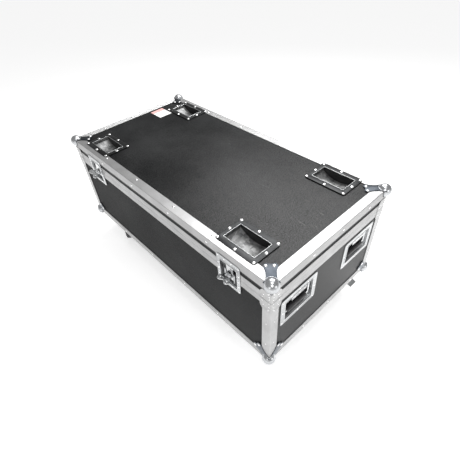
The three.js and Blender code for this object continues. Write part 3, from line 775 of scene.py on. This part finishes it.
def buildBraces():
    leg, thick = brace["leg"], brace["thick"]
    for corner in cornerNames:
        matrix = cornerPlace(corner, seamLevel)
        gap = brace["seamGap"]
        for body, low, high in (("body", -brace["bodyDrop"], -gap), ("lid", gap, brace["lidRise"])):
            outline = ([(leg, -thick), (leg, 0), (0, 0), (0, leg), (-thick, leg)]
                       + arc(2, 2, 2 + thick, 180, 270, 5))
            plate = slab(outline, "xy", low, high - low)
            for axis in ("X", "Y"):  # the free corners are cut off at a slant
                far, flat = (low, -0.5) if body == "body" else (high, 0.5)
                free = leg - brace["slant"]
                normal = (0.7, 0, flat) if axis == "X" else (0, 0.7, flat)
                point = (free, 0, far) if axis == "X" else (0, free, far)
                editAll(plate)
                bpy.ops.mesh.bisect(plane_co=point, plane_no=normal, clear_outer=True, use_fill=True)
                leaveEdit()
            plate = bevel(plate, 0.35, 2)
            name = "cornerBrace_" + body + "_" + corner
            place(plate, name, matrix, body, aluminium, "aluminium_profile")
            spots = []
            heights = (-40, -26, -8) if body == "body" else (10, 22, 36)
            for i, z in enumerate(heights):
                reach = (12, 30, 34)[i] if body == "body" else (34, 30, 12)[i]
                spots += [((reach, -thick, z), (0, -1, 0)), ((-thick, reach, z), (-1, 0, 0))]
                spots += [((8, -thick, z + 5), (0, -1, 0)), ((-thick, 8, z + 5), (-1, 0, 0))]
            placeRivets("brace", spots, name + "_rivets", matrix, body)
    print("braces built")


ball = {"radius": 23.38, "inset": 8.5, "wrap": 26, "steel": 1.8, "lift": 0.3, "reach": 85,
        "waist": 16, "ears": 21.5, "lobe": 11.0, "collar": 22.2, "collarWire": 0.9}


def cornerTab():
    reach, waist, ears, lobe = ball["reach"], ball["waist"], ball["ears"], ball["lobe"]
    upper = ([(14, waist + 9), (24, waist + 2.5), (34, waist), (52, waist), (60, waist + 1.5)]
             + arc(reach - lobe, ears - lobe, lobe, 95, 0, 8) + [(reach - 4.5, 2.0)])
    lower = [(a, -b) for a, b in reversed(upper)]
    tab = slab(upper + lower, "xy", -ball["lift"] - ball["steel"], ball["steel"])
    square = [(54, 18), (80, 18), (80, -18), (54, -18)]
    pad = slab(square, "xy", -ball["lift"] - 0.2, boardDrop - 0.3 + 0.2)
    for piece in (tab, pad):
        piece.data.transform(turnAbout("Z", 45))
    bevel(tab, 0.7, 3)
    pad = combine(pad, addBlock((edgeLeg + 0.3, edgeLeg + 0.3, -5), (120, 120, 5)), "INTERSECT")
    return joined([tab, pad])


def cornerShell():
    skin = ball["lift"] + ball["steel"]
    shell = addBlock((-skin, -skin, -skin), (ball["wrap"], ball["wrap"], ball["wrap"]))
    caseSpace = addBlock((-ball["lift"],) * 3, (90, 90, 90))
    combine(shell, caseSpace, "DIFFERENCE")
    return bevel(shell, 0.8, 3)


def cornerBall():
    deselectAll()
    centre = (ball["inset"],) * 3
    bpy.ops.mesh.primitive_uv_sphere_add(segments=40, ring_count=24, radius=ball["radius"], location=centre)
    sphere = bakePlace(bpy.context.object)
    caseSpace = addBlock((-ball["lift"],) * 3, (90, 90, 90))
    combine(sphere, caseSpace, "DIFFERENCE")
    return smooth(sphere, 40)


def cornerCollar(spin):
    deselectAll()
    inset = ball["inset"]
    bpy.ops.mesh.primitive_torus_add(major_segments=48, minor_segments=10, major_radius=ball["collar"],
                                     minor_radius=ball["collarWire"],
                                     location=(inset, inset, -ball["lift"] - ball["steel"]))
    collar = bakePlace(bpy.context.object)
    editAll(collar)
    bpy.ops.mesh.bisect(plane_co=(14, 14, 0), plane_no=(1, 1, 0), clear_inner=True, use_fill=True)
    selectMesh()
    leaveEdit()
    collar.data.transform(spin)
    return smooth(collar, 60)


def buildBallCorners():
    diagonal = Vector((1, 1, 1)).normalized()
    spins = [Matrix.Rotation(math.radians(120 * face), 4, diagonal) for face in range(3)]
    plainTab, shell, sphere = cornerTab(), cornerShell(), cornerBall()
    rivetSpots = [(63, 43), (46, 60)]
    for level, body, tabs in (("base", "body", 3), ("lid", "lid", 1)):
        plates = [copyOf(shell, here)]
        spots = []
        for spin in spins[:tabs]:
            plates.append(copyOf(plainTab, spin))
            normal = spin @ Vector((0, 0, -1))
            spots += [(spin @ Vector((a, b, -ball["lift"] - ball["steel"])), normal) for a, b in rivetSpots]
        plate = joined(plates)
        collars = joined([cornerCollar(spin) for spin in spins])
        heads = rivets("corner", spots)
        for k, corner in enumerate(cornerNames):
            sx, sy = cornerSigns[corner]
            top = level == "lid"
            matrix = shift(sx * halfLength, sy * halfWidth, topLevel if top else bottomLevel)
            if top:
                matrix = matrix @ turnAbout("Z", 90 * (k + 1)) @ turnAbout("X", 180)
            else:
                matrix = matrix @ turnAbout("Z", 90 * k)
            node, end = level + "_ball_corner_" + corner, level + "_" + corner
            placeCopy(sphere, "ball_" + end, matrix, body, ballChrome, "corner_steel", [node])
            # The lid's plates take the darker copy of the corner steel, which is painted shade.
            steel = shadedLidPlate if top else cornerPlate
            placeCopy(plate, "ballPlate_" + end, matrix, body, steel, "corner_steel")
            placeCopy(collars, "ballCollar_" + end, matrix, body, ballChrome, "corner_steel")
            placeCopy(heads, "ballRivets_" + end, matrix, body, rivetSteel, "bright_zinc")
        discard(plate, collars, heads)
    discard(plainTab, shell, sphere)
    print("ball corners built")


dish = {"length": 171, "width": 120, "corner": 12, "wellLength": 133, "wellWidth": 76, "ends": 13,
        "depth": 36, "steel": 1.4, "flange": 1.6, "lift": 0.3, "lip": 1.1, "pitchX": 156, "pitchY": 105,
        "middleY": 220}


def wellArc(grow):
    half = dish["wellLength"] / 2 + grow
    sag = dish["depth"] - dish["ends"]
    radius = (half * half + sag * sag) / (2 * sag)
    sweep = math.degrees(math.asin(half / radius))
    floor = arc(0, -dish["depth"] - grow + radius, radius, 270 - sweep, 270 + sweep, 28)
    return [(-half, 0.3)] + floor + [(half, 0.3)]


def dishFlange():
    length, width = dish["length"] / 2, dish["width"] / 2
    outline = roundedOutline(-length, length, -width, width, dish["corner"], 8)
    flange = slab(outline, "xy", dish["lift"], dish["flange"])
    wellX, wellY = dish["wellLength"] / 2, dish["wellWidth"] / 2
    hole = roundedOutline(-wellX, wellX, -wellY, wellY, 3, 4)
    combine(flange, slab(hole, "xy", -5, 12), "DIFFERENCE")
    bevel(flange, 0.5, 3)
    lip = tubeAlong(flatPoints(hole, "xy", dish["lift"] + dish["flange"]), dish["lip"])
    return flange, lip


def dishWell():
    half = dish["wellWidth"] / 2
    floor = drawLine(flatPoints(wellArc(0), "xz", -half))
    bpy.ops.mesh.extrude_region_move(TRANSFORM_OT_translate={"value": (0, 2 * half, 0)})
    leaveEdit()
    floor.modifiers.new("wall", "SOLIDIFY").thickness = dish["steel"]
    floor.modifiers["wall"].offset = 1
    applyAll(faceOutwards(floor))
    smooth(floor, 30)
    walls = []
    for side in (-1, 1):
        wall = slab(wellArc(0.1), "xz", side * half - (dish["steel"] if side < 0 else 0), dish["steel"])
        walls.append(wall)
    return floor, joined(walls)


def dishSkirt(sy):
    length, width = dish["length"] / 2 - 1.2, dish["width"] / 2 - 1.2
    outline = roundedOutline(-length, length, -width, width, dish["corner"], 6)
    skirt = slab(outline, "xy", 0.3 - boardDrop, boardDrop + 0.2)
    wellX, wellY = dish["wellLength"] / 2 + 0.2, dish["wellWidth"] / 2 + 0.2
    combine(skirt, addBlock((-wellX, -wellY, -9), (wellX, wellY, 9)), "DIFFERENCE")
    band = halfWidth - edgeLeg - dish["middleY"] - 0.3
    reach = dish["length"]
    keep = addBlock((-reach, -band if sy < 0 else -reach, -9), (reach, band if sy > 0 else reach, 9))
    return combine(skirt, keep, "INTERSECT")


def buildDishes():
    flange, lip = dishFlange()
    floor, walls = dishWell()
    a, b = dish["pitchX"] / 2, dish["pitchY"] / 2
    level = dish["lift"] + dish["flange"]
    spots = [((x, y, level), (0, 0, 1)) for x in (-a, 0, a) for y in (-b, 0, b) if (x, y) != (0, 0)]
    heads = rivets("dish", spots)
    for corner in cornerNames:
        node = "stacking_dish_" + corner
        low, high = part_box(node)
        middle = (low + high) * 500
        matrix = shift(middle.x, middle.y, topLevel)
        placeCopy(flange, "dishFlange_" + corner, matrix, "lid", flangeSteel, "dish_steel", [node])
        placeCopy(lip, "dishLip_" + corner, matrix, "lid", fittingZinc, "dish_steel")
        placeCopy(floor, "dishFloor_" + corner, matrix, "lid", galvanised, "dish_steel")
        # The well's side walls take the darkened steel, which is painted shade.
        placeCopy(walls, "dishWalls_" + corner, matrix, "lid", shadedWellSteel, "dish_steel")
        skirt = dishSkirt(cornerSigns[corner][1])
        place(skirt, "dishSkirt_" + corner, matrix, "lid", flangeSteel, "dish_steel")
        placeCopy(heads, "dishRivets_" + corner, matrix, "lid", rivetSteel, "bright_zinc")
    discard(flange, lip, floor, walls, heads)
    print("stacking dishes built")


handle = {"wellWidth": 138, "wellHeight": 90, "wellDepth": 18, "lip": 1.3, "rodRadius": 4,
          "gripRadius": 7.9, "gripDrop": 60, "gripHalf": 47, "armY": 58, "rodHalf": 63, "bend": 9,
          "pitchY": 158, "pitchZ": 109, "spring": 5.2}
handlePlaces = ["left_front", "left_back", "right_front", "right_back"]


# Made in the handle's own frame: outward along +X, the case's outside at x = 0.
def handleFrame(name):
    low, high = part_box("handle_dish_" + name)
    middle = (low + high) * 500
    end = 1 if middle.x > 0 else -1
    return shift(end * halfLength, middle.y, middle.z) @ turnAbout("Z", 0 if end > 0 else 180)


def handleRivets():
    level = -boardDrop + 0.3 + 1.6
    a, b = handle["pitchY"] / 2, handle["pitchZ"] / 2
    spots = [((level, y, z), (1, 0, 0)) for y in (-a, 0, a) for z in (-b, b)]
    spots += [((level, y, 0), (1, 0, 0)) for y in (-a, a)]
    spots += [((level, y, b), (1, 0, 0)) for y in (-a / 2, a / 2)]
    spots += [((level, y, b - 18), (1, 0, 0)) for y in (-24, 0, 24)]
    return rivets("fitting", spots)


def handleBail(pivot):
    armY, bend, half = handle["armY"], handle["bend"], handle["rodHalf"]
    low = pivot.z - handle["gripDrop"]
    points = [Vector((pivot.x, -62, pivot.z)), Vector((pivot.x, -armY - 1, pivot.z))]
    for a, b in arc(-armY + bend, low + bend, bend, 180, 270, 6):
        points.append(Vector((pivot.x, a, b)))
    down = [Vector((pivot.x, a, b)) for a, b in arc(armY - bend, low + bend, bend, 270, 360, 6)]
    points += down + [Vector((pivot.x, armY + 1, pivot.z)), Vector((pivot.x, 62, pivot.z))]
    bail = tubeAlong(points, handle["rodRadius"] - 0.3, closed=False, resolution=4)
    rod = addRod((pivot.x, -half, pivot.z), (pivot.x, half, pivot.z), handle["rodRadius"], 20)
    rod = bevel(rod, 0.6)
    return joined([bail, rod])


def handleGrip(pivot):
    low = pivot.z - handle["gripDrop"]
    half = handle["gripHalf"]
    grip = addRod((pivot.x, -half, low), (pivot.x, half, low), handle["gripRadius"], 32)
    rings = []
    for i in range(9):  # raised ribs round the grip
        y = -36 + 9 * i
        deselectAll()
        bpy.ops.mesh.primitive_torus_add(major_segments=28, minor_segments=6, minor_radius=0.8,
                                         major_radius=handle["gripRadius"] - 0.65,
                                         location=(pivot.x, y, low), rotation=(math.pi / 2, 0, 0))
        rings.append(smooth(bakePlace(bpy.context.object), 60))
    return joined([bevel(grip, 2.0, 4), *rings])


def handleSpring(pivot, side):
    points = []
    turns, steps, start = 5, 14, side * 40
    for i in range(turns * steps + 1):
        angle = 2 * math.pi * i / steps
        y = start + side * 1.9 * i / steps
        radius = handle["spring"]
        points.append(Vector((pivot.x + radius * math.cos(angle), y, pivot.z + radius * math.sin(angle))))
    return tubeAlong(points, 0.7, closed=False, resolution=1)


def buildHandles():
    for name in handlePlaces:
        matrix = handleFrame(name)
        joint = joints["handle_swing_" + name]
        pivot = matrix.inverted() @ Vector(joint["pos_m"]) * 1000
        pivot = Vector((pivot.x, 0, pivot.z))
        body = "handle_grip_" + name
        node = "handle_dish_" + name
        shell = roundedCopy(node, 0.5)
        place(shell, "handleDish_" + name, here, "body", fittingZinc, "fitting_zinc", [node])
        outline = roundedOutline(-handle["wellWidth"] / 2, handle["wellWidth"] / 2,
                                 -handle["wellHeight"] / 2, handle["wellHeight"] / 2, 4, 4)
        lip = tubeAlong(flatPoints(outline, "yz", -boardDrop + 0.3 + 1.5), handle["lip"])
        place(lip, "handleLip_" + name, matrix, "body", brightZinc, "fitting_zinc")
        # A thin dark plate over the back of the handle's well, which is painted shade in the recess.
        back = -boardDrop + 0.3 - handle["wellDepth"]
        wellShadePlate = addBlock((back + 0.05, -68.5, -44.5), (back + 0.45, 68.5, 44.5))
        place(bevel(wellShadePlate, 0.15, 1), "handleWellShade_" + name, matrix, "body", shadedWellSteel, "fitting_zinc")
        place(handleRivets(), "handleRivets_" + name, matrix, "body", rivetSteel, "bright_zinc")
        place(handleBail(pivot), "handleBail_" + name, matrix, body, brightZinc, "bright_zinc", [body])
        place(handleGrip(pivot), "handleGrip_" + name, matrix, body, gripRubber, "grip_rubber")
        springs = joined([handleSpring(pivot, side) for side in (-1, 1)])
        place(springs, "handleSprings_" + name, matrix, "body", brightZinc, "bright_zinc")
    print("handles built")


latch = {"wellHalf": 38, "wellBelow": 56, "wellAbove": 30, "face": -1.9, "rimCorner": 5, "rimWire": 1.3}


# The raised edge of one half's well, open at the seam; the body's half has its far side below.
def latchRim(far):
    half, corner = latch["wellHalf"] + 0.6, latch["rimCorner"]
    up = 1 if far > 0 else -1
    path = [(half, up)] + arc(half - corner, far - up * corner, corner, 0, up * 90, 5)
    start, end = (90, 180) if up > 0 else (270, 180)
    path += arc(-half + corner, far - up * corner, corner, start, end, 5) + [(-half, up)]
    return tubeAlong(flatPoints(path, "xz", latch["face"] + 0.2), latch["rimWire"], closed=False)


def latchRivets(upper):
    if upper:
        spots = [(-45, 45), (-15, 45), (15, 45), (45, 45), (-45, 12), (45, 12)]
    else:
        spots = [(-45, -62), (-15, -62), (15, -62), (45, -62),
                 (-45, -14), (45, -14), (-45, -38), (45, -38)]
    return rivets("fitting", [((x, latch["face"], z), (0, -1, 0)) for x, z in spots])


def spindleHead(drop):
    deselectAll()
    bpy.ops.mesh.primitive_uv_sphere_add(segments=24, ring_count=14, radius=7.2,
                                         location=(0, -1.8, -drop))
    dome = bakePlace(bpy.context.object)
    editAll(dome)
    bpy.ops.mesh.bisect(plane_co=(0, -1.6, -drop), plane_no=(0, 1, 0), clear_outer=True, use_fill=True)
    selectMesh()
    bpy.ops.transform.resize(value=(1, 0.62, 1), center_override=(0, -1.6, -drop))
    leaveEdit()
    return smooth(dome, 50)


# The bent strip that keeps the hook on its way, on one side of it.
def latchGuide(side):
    x0, x1 = sorted((side * 16.5, side * 24))
    guide = addBlock((x0, 2.6, -46), (x1, 10.2, -4))
    groove = addBlock((min(side * 15, side * 19.5), 4.2, -60), (max(side * 15, side * 19.5), 9.6, 10))
    combine(guide, groove, "DIFFERENCE")
    return bevel(guide, 0.5, 2)


def buildLatches():
    for side, centre in latchCentres().items():
        matrix = shift(centre, -halfWidth, seamLevel)
        joint = joints["latch_twist_" + side]
        drop = seamLevel - joint["pos_m"][2] * 1000
        for kind, body, node in (("latchDish_", "body", "latch_dish_" + side),
                                 ("latchKeeper_", "lid", "latch_keeper_" + side)):
            shell = roundedCopy(node, 0.45)
            place(shell, kind + side, here, body, fittingZinc, "fitting_zinc", [node])
        for kind, body, far in (("latchDishRim_", "body", -latch["wellBelow"]),
                                ("latchKeeperRim_", "lid", latch["wellAbove"])):
            place(latchRim(far), kind + side, matrix, body, brightZinc, "fitting_zinc")
        place(latchRivets(False), "latchDishRivets_" + side, matrix, "body", rivetSteel, "bright_zinc")
        place(latchRivets(True), "latchKeeperRivets_" + side, matrix, "lid", rivetSteel, "bright_zinc")
        spindle = "latch_spindle_" + side
        for node, slot in ((spindle, "bright_zinc"), ("latch_hook_" + side, "bright_zinc"),
                           ("latch_wing_" + side, "fitting_zinc")):
            place(roundedCopy(node, 0.5), node + "_fine", here, node, brightZinc, slot, [node])
        dome = spindleHead(drop)
        place(dome, "latchSpindleDome_" + side, matrix, spindle, ballChrome, "bright_zinc")
        # Thin dark plates over the backs of the latch's wells, which are painted shade in the recesses.
        for body, low, high in (("body", -55.6, -0.6), ("lid", 0.6, 29.6)):
            back = bevel(addBlock((-37.6, 10.28, low), (37.6, 10.45, high)), 0.05, 1)
            place(back, "latchWellShade_" + body + "_" + side, matrix, body, shadedWellSteel, "fitting_zinc")
        guides = joined([latchGuide(-1), latchGuide(1)])
        place(guides, "latchGuides_" + side, matrix, "body", fittingZinc, "fitting_zinc")
    print("latches built")


caster = {"wheelRadius": 50, "width": 32, "tread": 22, "tyreDepth": 14, "shoulder": 5, "nutAt": 23.4,
          "boltX": 38, "boltY": 31}


def wheelParts():
    radius, half, tread = caster["wheelRadius"], caster["width"] / 2, caster["tread"] / 2
    inner = radius - caster["tyreDepth"]
    shoulder = caster["shoulder"]
    edge = radius - shoulder
    tyreSection = ([(inner, -half + 1.2), (edge, -half + 0.6)]
                   + arc(edge, -tread + 0.5, shoulder, -60, -8, 4)
                   + [(radius, -tread + 3), (radius, tread - 3)]
                   + arc(edge, tread - 0.5, shoulder, 8, 60, 4)
                   + [(edge, half - 0.6), (inner, half - 1.2)])
    hubHalf = [(5.7, half), (12, half), (14, half - 2), (16, half - 6), (inner - 5, half - 7),
               (inner - 3, half - 2.4), (inner + 0.2, half - 1.8)]
    hubSection = [(r, -y) for r, y in hubHalf] + hubHalf[::-1]
    parts = []
    for section in (tyreSection, hubSection):
        points = [Vector((r, y, 0)) for r, y in section]
        wheel = drawLine(points + [points[0]])
        bpy.ops.mesh.remove_doubles(threshold=0.001)
        bpy.ops.mesh.spin(steps=48, angle=2 * math.pi, center=(0, 0, 0), axis=(0, 1, 0))
        leaveEdit()
        parts.append(smooth(faceOutwards(wheel), 30))
    return parts


def casterBolts():
    heads = []
    for x in (-caster["boltX"], caster["boltX"]):
        for y in (-caster["boltY"], caster["boltY"]):
            deselectAll()
            bpy.ops.mesh.primitive_cylinder_add(vertices=6, radius=6.5, depth=5, location=(x, y, -6.2))
            heads.append(bevel(bakePlace(bpy.context.object), 0.6, 2))
    return joined(heads)


def buildCasters():
    tyre, hub = wheelParts()
    for corner in cornerNames:
        roll = joints["caster_roll_" + corner]
        swivel = joints["caster_swivel_" + corner]
        turn = math.degrees(math.atan2(-roll["axis"][0], roll["axis"][1]))
        x, y, z = (value * 1000 for value in roll["pos_m"])
        wheelPlace = shift(x, y, z) @ turnAbout("Z", turn)
        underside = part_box("base_panel")[0].z * 1000
        swivelPlace = shift(swivel["pos_m"][0] * 1000, swivel["pos_m"][1] * 1000, underside)
        wheelBody, forkBody = "caster_wheel_" + corner, "caster_fork_" + corner
        rubber = (tyreRubber, "wheel_rubber", [wheelBody])
        placeCopy(tyre, "casterTyre_" + corner, wheelPlace, wheelBody, *rubber)
        placeCopy(hub, "casterHub_" + corner, wheelPlace, wheelBody, hubNylon, "wheel_rubber")
        for name, node, body in (("casterFork_", forkBody, forkBody),
                                 ("casterPlate_", "caster_plate_" + corner, "body")):
            fine = roundedCopy(node, 0.6)
            place(fine, name + corner, here, body, fittingZinc, "caster_zinc", [node])
        place(casterBolts(), "casterBolts_" + corner, swivelPlace, "body", brightZinc, "caster_zinc")
        nuts = []
        for side in (-1, 1):
            deselectAll()
            bpy.ops.mesh.primitive_cylinder_add(vertices=6, radius=8, depth=5.5,
                                                location=(0, side * caster["nutAt"], 0),
                                                rotation=(math.pi / 2, 0, 0))
            nuts.append(bevel(bakePlace(bpy.context.object), 0.6, 2))
        place(joined(nuts), "casterNuts_" + corner, wheelPlace, forkBody, brightZinc, "caster_zinc")
    discard(tyre, hub)
    print("casters built")


hingeScrews = {"pitch": 100, "count": 10, "height": 15, "face": 1.8}


def buildHinge():
    pitch, count = hingeScrews["pitch"], hingeScrews["count"]
    start, y = -pitch * (count - 1) / 2, halfWidth + hingeScrews["face"]
    for node, body, up in (("hinge_leaf_body", "body", -1), ("hinge_leaf_lid", "lid", 1)):
        leaf = roundedCopy(node, 0.25)
        place(leaf, node + "_fine", here, body, aluminium, "aluminium_profile", [node])
        z = seamLevel + up * hingeScrews["height"]
        spots = [((start + pitch * i, y, z), (0, 1, 0)) for i in range(count)]
        placeRivets("fitting", spots, node + "_rivets", here, body)


def buildLabel():
    (x, y), (w, d) = label["centre"], label["size"]
    low = topLevel - boardDrop + 0.05
    sticker = addBlock((x - w / 2, y - d / 2, low), (x + w / 2, y + d / 2, low + label["thick"]))
    place(bevel(sticker, 0.1, 1), "blankLabel", here, "lid", labelMaterial(), "laminate_board")
    print("hinge and label built")


buildStudio()
dressBoards()
buildProfiles()
buildEdgeRivets()
buildBraces()
buildBallCorners()
buildDishes()
buildHandles()
buildLatches()
buildCasters()
buildHinge()
buildLabel()
